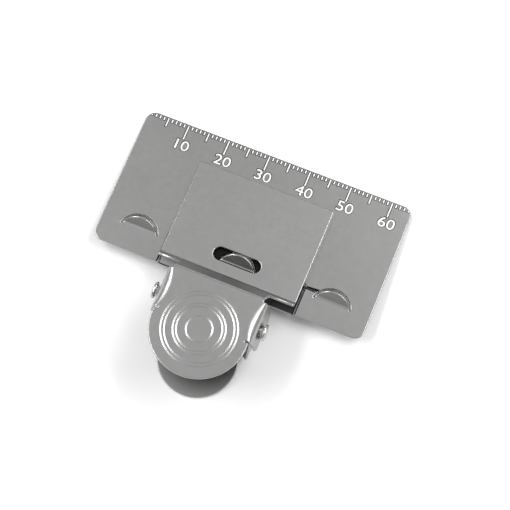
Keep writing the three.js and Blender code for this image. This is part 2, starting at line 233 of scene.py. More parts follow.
class Strip:
    """A sheet's middle line through corners in (Y, Z), from the scale's side to the levers."""

    def __init__(self, corners, radius=BEND_RADIUS):
        self.points = [np.array(c, float) for c in corners]
        runs = [b - a for a, b in zip(self.points, self.points[1:])]
        lengths = [np.linalg.norm(r) for r in runs]
        self.ways = [r / n for r, n in zip(runs, lengths)]
        self.folds = []
        self.starts = [0.0]
        end = 0.0
        used = 0.0
        for i in range(1, len(runs)):
            before, after = self.ways[i - 1], self.ways[i]
            up = np.array((before[1], -before[0]))
            angle = math.atan2(after @ up, after @ before)
            setback = radius * math.tan(abs(angle) / 2)
            start = end + lengths[i - 1] - used - setback
            end = start + radius * abs(angle)
            used = setback
            self.folds.append((start, angle, radius))
            self.starts.append(end - setback)

    def at(self, v, w):
        """The (Y, Z) place of points that lie v along the blank and w off its middle."""
        s = self.points[0][0] - v
        for start, angle, radius in reversed(self.folds):
            s, w = fold(s, w, start, angle, radius)
        way = self.ways[0]
        return (
            self.points[0][0] + way[0] * s + way[1] * w,
            self.points[0][1] + way[1] * s - way[0] * w,
        )

    def v_of(self, run, y=None, z=None):
        """How far along the blank a straight run passes that Y or Z."""
        corner, way = self.points[run], self.ways[run]
        distance = (y - corner[0]) / way[0] if z is None else (z - corner[1]) / way[1]
        return self.points[0][0] - self.starts[run] - distance

    def fold_rows(self, index, reach, steps=8):
        start, angle, radius = self.folds[index]
        rows = []
        for k in range(steps + 1):
            v = self.points[0][0] - start - radius * abs(angle) * k / steps
            rows.append([(-reach, v), (reach, v)])
        return rows


# ---- outlines -----------------------------------------------------------------------------------


def arc(x, y, radius, start, end, steps):
    angles = np.linspace(start, end, steps + 1)
    return [(x + radius * math.cos(a), y + radius * math.sin(a)) for a in angles]


def rounded(points, radii, steps=8):
    """A closed outline through points, each corner rounded by its own radius."""
    loop = []
    count = len(points)
    for i, radius in enumerate(radii):
        here = np.array(points[i], float)
        a = np.array(points[i - 1], float) - here
        b = np.array(points[(i + 1) % count], float) - here
        a /= np.linalg.norm(a)
        b /= np.linalg.norm(b)
        if radius == 0:
            loop.append(tuple(here))
            continue
        opening = math.acos(np.clip(a @ b, -1, 1))
        setback = radius / math.tan(opening / 2)
        middle = (a + b) / np.linalg.norm(a + b)
        centre = here + middle * radius / math.sin(opening / 2)
        first, last = here + a * setback - centre, here + b * setback - centre
        swing = math.atan2(first[0] * last[1] - first[1] * last[0], first @ last)
        for k in range(steps + 1):
            t = swing * k / steps
            turned = (
                first[0] * math.cos(t) - first[1] * math.sin(t),
                first[0] * math.sin(t) + first[1] * math.cos(t),
            )
            loop.append((centre[0] + turned[0], centre[1] + turned[1]))
    return loop


def rectangle(x0, x1, y0, y1, radius=0.0):
    return rounded([(x0, y0), (x1, y0), (x1, y1), (x0, y1)], [radius] * 4)


def grown(loop, distance):
    """The loop moved outwards by distance, or inwards where it is negative."""
    p = np.array(loop, float)
    area = np.sum(p[:, 0] * np.roll(p[:, 1], -1) - np.roll(p[:, 0], -1) * p[:, 1])
    before, after = p - np.roll(p, 1, 0), np.roll(p, -1, 0) - p
    before /= np.linalg.norm(before, axis=1)[:, None]
    after /= np.linalg.norm(after, axis=1)[:, None]
    normal = np.stack((before[:, 1] + after[:, 1], -before[:, 0] - after[:, 0]), 1)
    scale = 2 / np.maximum(np.sum(normal * normal, 1), SMALLEST_OPENING)
    return p + normal * scale[:, None] * distance * np.sign(area)


def inside(points, loop):
    """Which of the points lie inside the closed loop."""
    p = np.asarray(loop, float)
    q = np.roll(p, -1, 0)
    low, high = p.min(0), p.max(0)
    found = np.zeros(len(points), bool)
    near = np.where(np.all((points >= low) & (points <= high), 1))[0]
    if len(near) == 0:
        return found
    x, y = points[near, 0][:, None], points[near, 1][:, None]
    crosses = (p[:, 1] > y) != (q[:, 1] > y)
    rise = np.where(q[:, 1] == p[:, 1], 1, q[:, 1] - p[:, 1])
    at = p[:, 0] + (y - p[:, 1]) * (q[:, 0] - p[:, 0]) / rise
    found[near] = np.sum(crosses & (x < at), 1) % 2 == 1
    return found


# ---- sheet metal --------------------------------------------------------------------------------


def blank_triangles(adds, cuts, etches, rows):
    """Triangles of a flat blank, and each one's depth: 0 plain, 1 a mark's sloping side, 2 its floor."""
    slopes = [outer for outer, _ in etches]
    floors = [inner for _, inner in etches]
    shrunk = [grown(loop, -EDGE) for loop in adds]
    widened = [grown(loop, EDGE) for loop in cuts]
    vertices, edges = [], []
    for loop in [*shrunk, *widened, *slopes, *floors]:
        first = len(vertices)
        vertices += [Vector(p) for p in loop]
        edges += [(first + i, first + (i + 1) % len(loop)) for i in range(len(loop))]
    for row in rows:
        first = len(vertices)
        vertices += [Vector(p) for p in row]
        edges += [(first + i, first + i + 1) for i in range(len(row) - 1)]
    points, _, triangles, *_ = delaunay_2d_cdt(vertices, edges, [], 0, MERGE_DISTANCE)
    co = np.array([tuple(p) for p in points])
    triangles = np.array(triangles)
    centres = co[triangles].mean(1)
    kept = np.zeros(len(triangles), bool)
    for loop in shrunk:
        kept |= inside(centres, loop)
    for loop in widened:
        kept &= ~inside(centres, loop)
    depth = np.zeros((2, len(triangles)), bool)
    for level, loops in enumerate((slopes, floors)):
        for loop in loops:
            depth[level] ^= inside(centres, loop)
    triangles, depth = triangles[kept], depth[:, kept].sum(0)
    a, b, c = co[triangles[:, 0]], co[triangles[:, 1]], co[triangles[:, 2]]
    ab, ac = b - a, c - a
    turned = ab[:, 0] * ac[:, 1] < ab[:, 1] * ac[:, 0]
    triangles[turned] = triangles[turned][:, ::-1]
    used, flat = np.unique(triangles, return_inverse=True)
    return co[used], flat.reshape(-1, 3), depth


def border_edges(triangles):
    """Directed edges that only one triangle has."""
    edges = {}
    for triangle in triangles.tolist():
        for i in range(3):
            edges[(triangle[i], triangle[(i + 1) % 3])] = True
    return [(a, b) for a, b in edges if (b, a) not in edges]


def bent_normals(places, normals, bend):
    """Where a bend turns the normals of places on the flat sheet."""
    step = 1e-4
    nearly_upright = np.abs(normals[:, 2:]) > 0.9
    helper = np.where(nearly_upright, (1.0, 0.0, 0.0), (0.0, 0.0, 1.0))
    first = np.cross(helper, normals)
    first /= np.linalg.norm(first, axis=1)[:, None]
    second = np.cross(normals, first)
    there = bend(places)
    turned = np.cross(bend(places + first * step) - there, bend(places + second * step) - there)
    return turned / np.maximum(np.linalg.norm(turned, axis=1)[:, None], 1e-20)


def stamped_sheet(name, adds, cuts, etches, rows, bend, finish):
    """A sheet of even thickness with rounded edges, cut as a flat blank and then bent."""
    flat, triangles, depth = blank_triangles(adds, cuts, etches, rows)
    border = border_edges(triangles)
    count = len(flat)
    places = [np.column_stack((flat, np.full(count, HALF)))]
    total = count
    faces, normals, materials = [], [], []
    up, down = (0.0, 0.0, 1.0), (0.0, 0.0, -1.0)

    top = places[0]
    top[np.unique(triangles[depth == 2]), 2] -= ETCH_DEPTH
    a, b, c = top[triangles[:, 0]], top[triangles[:, 1]], top[triangles[:, 2]]
    facing = np.cross(b - a, c - a)
    facing /= np.linalg.norm(facing, axis=1)[:, None]
    tones = finish(flat[triangles].mean(1))
    for triangle, level, way, tone in zip(triangles, depth, facing, tones):
        faces.append([int(v) for v in triangle])
        normals.append([way if level == 1 else up] * 3)
        # a mark's sloping side is painted dark as shadow
        materials.append((tone, DARK, MARKED)[level])

    after = dict(border)
    before = {b: a for a, b in border}
    rim = [a for a, _ in border]
    here = flat[rim]
    ahead = flat[[after[v] for v in rim]] - here
    behind = here - flat[[before[v] for v in rim]]
    ahead /= np.linalg.norm(ahead, axis=1)[:, None]
    behind /= np.linalg.norm(behind, axis=1)[:, None]
    outward = np.column_stack((ahead[:, 1] + behind[:, 1], -ahead[:, 0] - behind[:, 0]))
    miter = 2 / np.maximum(np.sum(outward * outward, 1), 1.0)
    unit = outward / np.linalg.norm(outward, axis=1)[:, None]
    quarter = (math.pi / 2, math.pi / 3, math.pi / 6, 0.0)
    section = [(EDGE * math.cos(t), HALF - EDGE + EDGE * math.sin(t), t) for t in quarter]
    section += [(x, -z, -t) for x, z, t in reversed(section)]
    bottom = total
    places.append(np.column_stack((flat, np.full(count, -HALF))))
    total += count
    order = {v: i for i, v in enumerate(rim)}
    # the rim beside areas of painted shadow is painted dark too, except round the stops
    dark = (finish(here) == DARK) & ~on_stop(here)
    rings = [{v: v for v in rim}]
    for offset, height, _ in section[1:-1]:
        ring = here + outward * miter[:, None] * offset
        places.append(np.column_stack((ring, np.full(len(rim), height))))
        rings.append({v: total + i for i, v in enumerate(rim)})
        total += len(rim)
    rings.append({v: bottom + v for v in rim})
    for k in range(len(rings) - 1):
        upper, lower = rings[k], rings[k + 1]
        for a, b in border:
            faces.append([upper[a], lower[a], lower[b], upper[b]])
            corner = []
            for v, step in ((a, k), (a, k + 1), (b, k + 1), (b, k)):
                t = section[step][2]
                n = unit[order[v]] * math.cos(t)
                corner.append((n[0], n[1], math.sin(t)))
            normals.append(corner)
            materials.append(DARK if dark[order[a]] else PLAIN)
    for triangle in triangles:
        faces.append([bottom + int(v) for v in triangle[::-1]])
        normals.append([down] * 3)
        materials.append(PLAIN)

    local = np.vstack(places)
    loops = np.concatenate([np.array(f) for f in faces])
    bent = bent_normals(local[loops], np.array([n for face in normals for n in face]), bend)

    mesh = bpy.data.meshes.new(name)
    mesh.from_pydata(bend(local).tolist(), [], faces)
    mesh.transform(LAY)
    turn = np.array(LAY.to_3x3().normalized())
    mesh.polygons.foreach_set("material_index", materials)
    mesh.polygons.foreach_set("use_smooth", [True] * len(faces))
    mesh.normals_split_custom_set((bent @ turn.T).tolist())
    piece = bpy.data.objects.new(name, mesh)
    bpy.context.scene.collection.objects.link(piece)
    return piece


def bead(x, y):
    """Height of the pressed rings of a finger pad, at a place measured from its centre."""
    distance = np.hypot(x, y)
    height = np.zeros_like(distance)
    for radius in BEAD_RADII:
        t = np.clip((distance - radius) / BEAD_HALF_WIDTH, -1, 1)
        height = height + BEAD_HEIGHT * (1 - t * t) ** 2
    return height


def pad_rows(centre_v):
    """Closed rows of points round a pad's centre, close together across each pressed ring."""
    rows = []
    for radius in BEAD_RADII:
        for k in range(-BEAD_ROWS, BEAD_ROWS + 1):
            reach = radius + BEAD_HALF_WIDTH * k / BEAD_ROWS
            rows.append(arc(0, centre_v, reach, 0, 2 * math.pi, steps=144))
    return rows


# ---- ruler plate --------------------------------------------------------------------------------

rear = Strip(
    [
        (PLATE_HEIGHT, -HALF),
        (REAR_BEND_Y, -HALF),
        (REAR_BEND_Y - REACH * math.cos(REAR_TILT), -HALF - REACH * math.sin(REAR_TILT)),
    ]
)
REAR_PAD_V = rear.v_of(1, y=REAR_PAD_Y)
REAR_EAR_FIRST = rear.v_of(1, y=REAR_BEND_Y) - REAR_EAR_START
REAR_EAR_LAST = REAR_EAR_FIRST - REAR_EAR_LENGTH
REAR_EAR_BEND_X = REAR_EAR_FACE - HALF - BEND_RADIUS
REAR_EAR_ARC = BEND_RADIUS * math.pi / 2


def rear_ear_u(height):
    """How far out on the blank a place on the rear ear is, from its height over the sheet."""
    return REAR_EAR_BEND_X + REAR_EAR_ARC + height - BEND_RADIUS


def rear_pin_place():
    """(V, height over the sheet) of the pin on the rear ear."""
    y, z = PIN_Y - REAR_BEND_Y, PIN_Z
    along = y * math.cos(REAR_TILT) - z * math.sin(-REAR_TILT)
    height = -y * math.sin(REAR_TILT) + z * math.cos(REAR_TILT)
    return rear.v_of(1, y=REAR_BEND_Y) + along, height + HALF


# The plate's part under the front jaw's slot, painted dark as shadow, and the (X, Y, reach) of the
# patch of painted shade on its right shoulder.
UNDER_SLOT = rectangle(
    SLOT_LEFT_X - SLOT_SHADE,
    SLOT_RIGHT_X + SLOT_SHADE,
    SLOT_LOW_Y - SLOT_SHADE,
    SLOT_HIGH_Y + SLOT_SHADE,
    SLOT_SHADE_CORNER,
)
SHOULDER_SHADE = (13.4, -0.2, 5.0)


def bend_rear(p):
    """Carries places (u, v, w) on the rear blank to the clip's frame."""
    u, v, w = p[:, 0], p[:, 1], p[:, 2]
    y, z = v, w - HALF
    along, across = fold(v - STOP_CHORD_Y, w, 0.0, STOP_ANGLE, STOP_BEND)
    tab = on_stop(p)
    y = np.where(tab, STOP_CHORD_Y + along, y)
    z = np.where(tab, across - HALF, z)
    out, height = fold(np.abs(u), w, REAR_EAR_BEND_X, math.pi / 2, BEND_RADIUS)
    ear = (v < REAR_EAR_FIRST + REAR_EAR_REACH) & (v > REAR_EAR_LAST - EAR_RELIEF)
    x = np.where(ear, np.sign(u) * out, u)
    strip_y, strip_z = rear.at(v, np.where(ear, height, w))
    tongue = (np.abs(u) < TONGUE_HALF + TONGUE_GAP / 2) & (v < REAR_BEND_Y + OVERLAP)
    tongue |= ear
    return np.column_stack((x, np.where(tongue, strip_y, y), np.where(tongue, strip_z, z)))


def stop_cut(x):
    """The crescent cut round a stop, open along the stop's chord."""
    outer = STOP_RADIUS + STOP_GAP
    a = math.asin(STOP_DROP / outer)
    b = math.asin(STOP_DROP / STOP_RADIUS)
    y = STOP_CHORD_Y - STOP_DROP
    return arc(x, y, outer, a, math.pi - a, steps=40) + arc(x, y, STOP_RADIUS, math.pi - b, b, steps=40)


def stop_rows(x):
    """Rows of points across the bend at a stop's foot."""
    rows = []
    for k in range(1, STOP_BEND_ROWS + 1):
        t = STOP_BEND * STOP_ANGLE * k / STOP_BEND_ROWS
        reach = math.sqrt((STOP_RADIUS - EDGE) ** 2 - (t + STOP_DROP) ** 2)
        rows.append([(x - reach, STOP_CHORD_Y + t), (x + reach, STOP_CHORD_Y + t)])
    return rows


def rear_finish(places):
    """Finish at places on the blank: painted shadow at its cuts and under the slot, painted shade where
    the front stamping shades it.
    """
    u, v = places[:, 0], places[:, 1]
    out = np.abs(u)
    gap = out > TONGUE_HALF - EDGE - CUT_INNER
    gap &= out < TONGUE_HALF + TONGUE_GAP + EDGE + CUT_OUTER
    gap &= v < TONGUE_ROOT_Y + CUT_OUTER
    slit = (u > TONGUE_HALF) & (u < STOP_X[2] - STOP_CHORD / 2)
    slit &= np.abs(v - TONGUE_ROOT_Y) < 2 * SLIT_WIDTH
    shade_x, shade_y, shade_reach = SHOULDER_SHADE
    shoulder = (np.hypot(u - shade_x, v - shade_y) < shade_reach) & (u < TONGUE_HALF)
    stops = on_stop(places)
    under_slot = inside(places, UNDER_SLOT) & ~stops
    middle_stop = stops & (np.abs(u - STOP_X[1]) < STOP_CHORD)
    pad = (out < REAR_EAR_BEND_X) & (v < REAR_EAR_FIRST)
    # painted shadow in the tongue's gap, the slit and under the slot; painted shade on the rear pad, the
    # shoulder and the middle stop
    areas = [gap | slit | under_slot, pad, shoulder, middle_stop]
    return np.select(areas, [DARK, SHADED, SHADE_PATCH, SHADED], PLAIN)


def on_stop(places):
    """Which places on the blank belong to a stop."""
    found = np.zeros(len(places), bool)
    for x in STOP_X:
        t = places[:, 1] - STOP_CHORD_Y
        found |= (t > 0) & (np.hypot(places[:, 0] - x, t + STOP_DROP) < STOP_RADIUS + STOP_GAP / 2)
    return found


def rear_lever_outline():
    """The tongue, neck, ears and pad, as one closed outline."""
    pin_v, pin_height = rear_pin_place()
    foot = rear.v_of(1, y=0.0)
    ear_top = rear_ear_u(pin_height)
    right = [(TONGUE_HALF, TONGUE_ROOT_Y + OVERLAP), (TONGUE_HALF, foot), (REAR_NECK_HALF, foot)]
    right.append((REAR_NECK_HALF, REAR_EAR_FIRST))
    cut = REAR_EAR_CROWN_CUT
    crown = arc(pin_v, ear_top, REAR_EAR_CROWN, cut, math.pi - cut, steps=20)
    right += [(u, v) for v, u in crown]
    right.append((rear_ear_u(REAR_EAR_TAIL), REAR_EAR_LAST))
    side = math.acos(REAR_PAD_NECK)
    right += arc(0, REAR_PAD_V, REAR_PAD_RADIUS, side, -math.pi / 2, steps=40)[:-1]
    left = [(-u, v) for u, v in reversed(right)]
    return right + [(0.0, REAR_PAD_V - REAR_PAD_RADIUS)] + left


def ticks():
    """(Outline of the sloping sides, outline of the floor) of each of the scale's marks."""
    loops = []
    half = PLATE_WIDTH / 2
    for i in range(1, round(PLATE_WIDTH)):
        length = TICK_LENGTHS[10 if i % 10 == 0 else 5 if i % 5 == 0 else 1]
        x = i - half
        inward = max(abs(x) - (half - PLATE_CORNER), 0)
        lost = PLATE_CORNER - math.sqrt(PLATE_CORNER**2 - inward**2)
        top = PLATE_HEIGHT - TICK_MARGIN - lost
        low = PLATE_HEIGHT - length
        side = TICK_WIDTH / 2
        slope = rectangle(x - side - FRINGE, x + side + FRINGE, low - FRINGE, top)
        floor = rectangle(x - side, x + side, low, top - FRINGE / 2)
        loops.append((slope, floor))
    return loops


def number_loops(number, x, top):
    """Outlines of a number's digits, centred on x, hanging from top."""
    text = bpy.data.curves.new("number", "FONT")
    text.body = str(number)
    holder = bpy.data.objects.new("number", text)
    bpy.context.scene.collection.objects.link(holder)
    bpy.context.view_layer.update()
    outline = holder.to_curve(bpy.context.evaluated_depsgraph_get())
    loops = []
    for spline in outline.splines:
        knots = list(spline.bezier_points)
        loop = []
        for a, b in zip(knots, knots[1:] + knots[:1]):
            curve = interpolate_bezier(a.co, a.handle_right, b.handle_left, b.co, CURVE_STEPS)
            loop += [(p.x, p.y) for p in curve[:-1]]
        loops.append(np.array(loop))
    bpy.data.objects.remove(holder)
    bpy.data.curves.remove(text)
    everything = np.vstack(loops)
    low, high = everything.min(0), everything.max(0)
    scale = NUMBER_HEIGHT / (high[1] - low[1]) * np.array((NUMBER_STRETCH, 1))
    corner = np.array((x, top - NUMBER_HEIGHT)) - (high - low) * scale * (0.5, 0)
    pairs = []
    for loop in loops:
        hole = any(inside(loop[:1], other)[0] for other in loops if other is not loop)
        placed = corner + (loop - low) * scale
        slope, floor = (-FRINGE / 2, 0.0) if hole else (FRINGE, STROKE_GROWTH)
        pairs.append((grown(placed, slope), grown(placed, floor)))
    return pairs


def ruler_plate():
    half = PLATE_WIDTH / 2
    gap = TONGUE_HALF + TONGUE_GAP
    root = TONGUE_ROOT_Y
    corner = PLATE_CORNER
    plate = rounded(
        [
            (-half, 0),
            (-gap, 0),
            (-gap, root),
            (gap, root),
            (gap, 0),
            (half, 0),
            (half, PLATE_HEIGHT),
            (-half, PLATE_HEIGHT),
        ],
        [corner, GAP_CORNER, 0, 0, GAP_CORNER, corner, corner, corner],
        steps=14,
    )
    join = rectangle(-TONGUE_HALF, TONGUE_HALF, REAR_BEND_Y + OVERLAP, root + 2 * OVERLAP)
    slit_end = STOP_X[2] - STOP_CHORD / 2 + SHEET
    cuts = [rectangle(TONGUE_HALF + TONGUE_GAP / 2, slit_end, root - SLIT_WIDTH, root)]
    pin_v, pin_height = rear_pin_place()
    for side in (-1, 1):
        hole = arc(side * rear_ear_u(pin_height), pin_v, HOLE_RADIUS, 0, 2 * math.pi, steps=32)
        cuts.append(hole[:-1])
    cuts += [stop_cut(x) for x in STOP_X]
    etches = ticks()
    for i in range(NUMBER_EVERY, round(PLATE_WIDTH), NUMBER_EVERY):
        etches += number_loops(i, i - half + NUMBER_SHIFT, PLATE_HEIGHT - NUMBER_TOP)
    rows = rear.fold_rows(0, TONGUE_HALF - EDGE, steps=4)
    for x in STOP_X:
        rows += stop_rows(x)
    ear_start = REAR_EAR_FIRST + REAR_EAR_ROW_REACH
    ear_end = REAR_EAR_LAST - EAR_RELIEF + CUT_INNER
    for side in (-1, 1):
        for k in range(REAR_EAR_ROWS + 1):
            u = side * (REAR_EAR_BEND_X + REAR_EAR_ARC * k / REAR_EAR_ROWS)
            rows.append([(u, ear_start), (u, ear_end)])
    rows.append(arc(*SHOULDER_SHADE, -SHADE_ARC_EXTRA, math.pi + SHADE_ARC_EXTRA, steps=60))
    rows.append([(-REAR_EAR_BEND_X, REAR_EAR_FIRST), (REAR_EAR_BEND_X, REAR_EAR_FIRST)])
    rows.append([*UNDER_SLOT, UNDER_SLOT[0]])
    adds = [plate, join, rear_lever_outline()]
    return stamped_sheet("clip_ruler_plate", adds, cuts, etches, rows, bend_rear, rear_finish)


# ---- front jaw and lever ------------------------------------------------------------------------

front = Strip(
    [
        (JAW_TIP_Y, JAW_TIP_GAP + HALF),
        (RISER_FOOT_Y, JAW_FOOT_GAP + HALF),
        (RISER_HEAD_Y, LEVER_Z - HALF),
        (-REACH, LEVER_Z - HALF),
    ]
)
FRONT_PAD_V = front.v_of(2, y=FRONT_PAD_Y)
head_start, head_angle, head_radius = front.folds[1]
EAR_FIRST = JAW_TIP_Y - head_start - head_radius * abs(head_angle)
EAR_LAST = front.v_of(2, y=EAR_END_Y)
EAR_CORNER_X = EAR_FACE_AT_PIN - HALF / math.cos(EAR_FLARE)
EAR_CORNER_X += (PIN_Z - LEVER_Z + HALF) * math.tan(EAR_FLARE)


def ear_bend_radius(v):
    """The ear's bend radius, widest at the middle of the ear."""
    middle, half = (EAR_FIRST + EAR_LAST) / 2, (EAR_FIRST - EAR_LAST) / 2
    t = np.clip((v - middle) / half, -1, 1)
    return EAR_BEND_END + (EAR_BEND_MIDDLE - EAR_BEND_END) * (1 - t * t)


def ear_bend_start(v):
    """How far out on the blank the ear's bend starts."""
    return EAR_CORNER_X - ear_bend_radius(v) * math.tan(EAR_FOLD / 2)


def ear_u(v, z):
    """How far out on the blank a place on the front ear is, from its height Z."""
    radius = ear_bend_radius(v)
    down = (LEVER_Z - HALF - z) / math.cos(EAR_FLARE)
    return EAR_CORNER_X + down + radius * (EAR_FOLD - 2 * math.tan(EAR_FOLD / 2))


def bend_front(p):
    """Carries places (u, v, w) on the front blank to the clip's frame."""
    u, v, w = p[:, 0], p[:, 1], p[:, 2]
    w = w + np.where(v < EAR_FIRST, bead(u, v - FRONT_PAD_V), 0)
    out, drop = fold(np.abs(u), w, ear_bend_start(v), -EAR_FOLD, ear_bend_radius(v))
    ear = (v < EAR_FIRST + EDGE * 2) & (v > EAR_LAST - EAR_RELIEF / 2)
    x = np.where(ear, np.sign(u) * out, u)
    y, z = front.at(v, np.where(ear, drop, w))
    return np.column_stack((x - SIDE_PLAY, y, z))


def front_finish(places):
    """Finish at places on the blank: painted shade on the riser, from the middle of its lower bend
    upward.
    """
    start, angle, radius = front.folds[0]
    foot = JAW_TIP_Y - start - radius * abs(angle) / 2
    riser = (places[:, 1] < foot) & (places[:, 1] > JAW_TIP_Y - head_start)
    return np.where(riser, SHADE_PATCH, PLAIN)


def front_ear_outline(side):
    """The ear on one side, its lower edge rounded at both ends."""
    corner = EAR_CORNER
    edge = []
    for k in range(EAR_EDGE_STEPS + 1):
        v = EAR_FIRST + (EAR_LAST - EAR_FIRST) * k / EAR_EDGE_STEPS
        low = EAR_EDGE_Z
        if EAR_FIRST - v < corner:
            low += corner - math.sqrt(corner**2 - (corner - EAR_FIRST + v) ** 2)
        if v - EAR_LAST < EAR_HEEL:
            low += EAR_HEEL - math.sqrt(EAR_HEEL**2 - (EAR_HEEL - v + EAR_LAST) ** 2)
        edge.append((side * float(ear_u(v, low)), v))
    inner = NECK_HALF - EAR_ROOT
    return [(side * inner, EAR_FIRST), *edge, (side * inner, EAR_LAST)]


def front_jaw_lever():
    shoulder = front.v_of(1, z=SHOULDER_Z)
    jaw = rectangle(-JAW_HALF, JAW_HALF, shoulder, JAW_TIP_Y, JAW_CORNER)
    neck = rectangle(-NECK_HALF, NECK_HALF, EAR_FIRST - OVERLAP, shoulder + OVERLAP)
    lever_half = EAR_CORNER_X - EAR_BEND_END * math.tan(EAR_FOLD / 2) - LEVER_INSET
    low = EAR_LAST - EAR_RELIEF
    high = EAR_FIRST + LEVER_OVERLAP
    brow = math.asin((low - FRONT_PAD_V) / FRONT_PAD_RADIUS)
    lever = [(lever_half, low), (lever_half, high), (-lever_half, high), (-lever_half, low)]
    lever += arc(0, FRONT_PAD_V, FRONT_PAD_RADIUS, math.pi - brow, 2 * math.pi + brow, steps=90)
    ears = [front_ear_outline(side) for side in (-1, 1)]
    slot_end = (SLOT_HIGH_Y - SLOT_LOW_Y) / 2 - SLOT_END_FLAT
    cuts = [rectangle(SLOT_LEFT_X, SLOT_RIGHT_X, SLOT_LOW_Y, SLOT_HIGH_Y, slot_end)]
    pin_v = front.v_of(2, y=PIN_Y)
    for side in (-1, 1):
        hole = arc(side * float(ear_u(pin_v, PIN_Z)), pin_v, HOLE_RADIUS, 0, 2 * math.pi, steps=32)
        cuts.append(hole[:-1])
        a, b = sorted((side * (lever_half - RELIEF_INSET), side * REACH))
        cuts.append(rectangle(a, b, low, EAR_LAST))
    rows = front.fold_rows(0, JAW_HALF - EDGE) + front.fold_rows(1, NECK_HALF - EDGE)
    for side in (-1, 1):
        for k in range(EAR_BEND_ROWS + 1):
            row = []
            for j in range(EAR_BEND_POINTS + 1):
                v = EAR_FIRST + (EAR_LAST - EAR_FIRST) * j / EAR_BEND_POINTS
                u = float(ear_bend_start(v) + ear_bend_radius(v) * EAR_FOLD * k / EAR_BEND_ROWS)
                row.append((side * u, v))
            rows.append(row)
    rows += pad_rows(FRONT_PAD_V)
    adds = [jaw, neck, lever, *ears]
    return stamped_sheet("clip_front_jaw", adds, cuts, [], rows, bend_front, front_finish)


# ---- pin and spring -----------------------------------------------------------------------------


def solid_of_rings(name, rings):
    """A closed piece through rings of points, each ring having as many as the last."""
    sides = len(rings[0])
    vertices = [tuple(p) for ring in rings for p in ring]
    faces = [list(range(sides))[::-1]]
    for k in range(len(rings) - 1):
        for i in range(sides):
            j = (i + 1) % sides
            faces.append([k * sides + i, k * sides + j, (k + 1) * sides + j, (k + 1) * sides + i])
    last = (len(rings) - 1) * sides
    faces.append([last + i for i in range(sides)])
    mesh = bpy.data.meshes.new(name)
    mesh.from_pydata(vertices, [], faces)
    mesh.transform(LAY)
    mesh.polygons.foreach_set("use_smooth", [True] * len(faces))
    mesh.set_sharp_from_angle(angle=math.radians(50))
    piece = bpy.data.objects.new(name, mesh)
    bpy.context.scene.collection.objects.link(piece)
    return piece


def pivot_pin():
    """The pin with both its ends riveted over into dished, slightly uneven heads."""
    rise = HEAD_END_X - HEAD_SEAT_X
    head = [(0.0, PIN_RADIUS)]
    head += [(x, HEAD_RADIUS - inset) for x, inset in HEAD_UNDERSIDE]
    head += [(share * rise, HEAD_RADIUS - inset) for share, inset in HEAD_PROFILE]
    head.append((HEAD_DISH[0] * rise, HEAD_DISH[1]))
    profile = [(-HEAD_SEAT_X - x, r) for x, r in reversed(head)]
    profile += [(HEAD_SEAT_X + x, r) for x, r in head]
    rings = []
    for x, radius in profile:
        ring = []
        (few, deep), (many, shallow) = HEAD_LOBES
        for i in range(PIN_SIDES):
            a = 2 * math.pi * i / PIN_SIDES
            r = radius
            if radius > PIN_RADIUS + HEAD_LOBES_OUTSIDE:
                r *= 1 + deep * math.sin(few * a + x) + shallow * math.sin(many * a)
            ring.append((x - SIDE_PLAY, PIN_Y + r * math.cos(a), PIN_Z + r * math.sin(a)))
        rings.append(ring)
    return solid_of_rings("clip_pivot_pin", rings)


def wire_path():
    """Centreline of the spring: the front leg, the coil on the pin, then the rear leg."""
    front_z = LEVER_Z - SHEET - LEG_GAP - WIRE_RADIUS
    front_slope = math.atan2(front_z - PIN_Z - COIL_RADIUS, PIN_Y - FRONT_LEG_Y)
    inner = (REAR_LEG_Y - REAR_BEND_Y) * math.tan(REAR_TILT)
    rear_z = inner + (LEG_GAP + WIRE_RADIUS) / math.cos(REAR_TILT)
    rear_slope = math.atan2(PIN_Z - COIL_RADIUS - rear_z, PIN_Y - REAR_LEG_Y)
    first = math.pi / 2 - front_slope
    last = -math.pi / 2 + rear_slope - 2 * math.pi * (COIL_TURNS - 0.5)
    steps = COIL_STEPS * COIL_TURNS
    start = -COIL_LENGTH / 2
    points = []
    for k in range(LEG_STEPS):
        t = k / LEG_STEPS
        y = FRONT_LEG_Y + (PIN_Y - FRONT_LEG_Y) * t
        points.append((start, y, front_z + (PIN_Z + COIL_RADIUS - front_z) * t))
    for k in range(steps + 1):
        a = first + (last - first) * k / steps
        x = start + COIL_LENGTH * k / steps
        points.append((x, PIN_Y + COIL_RADIUS * math.cos(a), PIN_Z + COIL_RADIUS * math.sin(a)))
    _, end_y, end_z = points[-1]
    for k in range(1, LEG_STEPS + 1):
        t = k / LEG_STEPS
        points.append((-start, end_y + (REAR_LEG_Y - end_y) * t, end_z + (rear_z - end_z) * t))
    return [Vector(p) for p in points]


def torsion_spring():
    """Round wire along the spring's path."""
    path = wire_path()
    rings = []
    normal = Vector((1, 0, 0))
    for i, point in enumerate(path):
        way = (path[min(i + 1, len(path) - 1)] - path[max(i - 1, 0)]).normalized()
        normal = (normal - way * normal.dot(way)).normalized()
        side = way.cross(normal)
        ring = []
        for k in range(WIRE_SIDES):
            a = 2 * math.pi * k / WIRE_SIDES
            ring.append(point + (normal * math.cos(a) + side * math.sin(a)) * WIRE_RADIUS)
        rings.append(ring)
    return solid_of_rings("clip_torsion_spring", rings)


# ---- materials ----------------------------------------------------------------------------------


